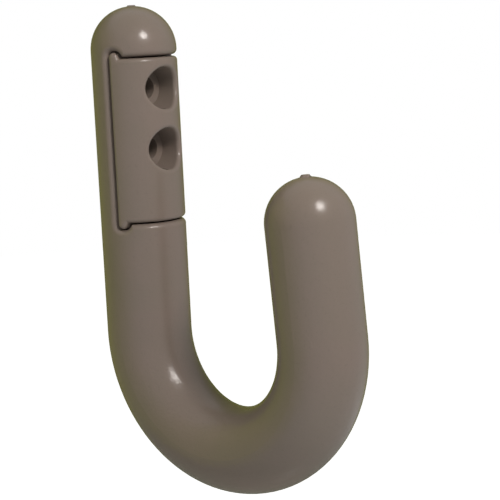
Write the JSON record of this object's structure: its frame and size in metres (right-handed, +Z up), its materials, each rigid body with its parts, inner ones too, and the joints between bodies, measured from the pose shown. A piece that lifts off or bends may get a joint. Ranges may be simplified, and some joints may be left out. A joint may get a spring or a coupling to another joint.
{
  "type": "coat hook",
  "caption": "J-shaped moulded plastic coat hook of round section with domed ends, fixed to a wall by screws through a flush block that snaps into the front of its shank.",
  "frame": {"origin": "on the wall plane, midway between the two screw holes", "axes": "+Y into the wall, so the hook reaches out along -Y; +Z up along the shank; X across the hook, with X = 0 its plane of symmetry"},
  "size_m": [0.02, 0.0702, 0.1124],
  "materials": {
    "hook_body": "satin moulded nylon, taupe",
    "fixing_block": "satin moulded nylon, taupe"
  },
  "bodies": {
    "root": {"hook_body": "hook_body", "fixing_block": "fixing_block"}
  },
  "joints": []
}
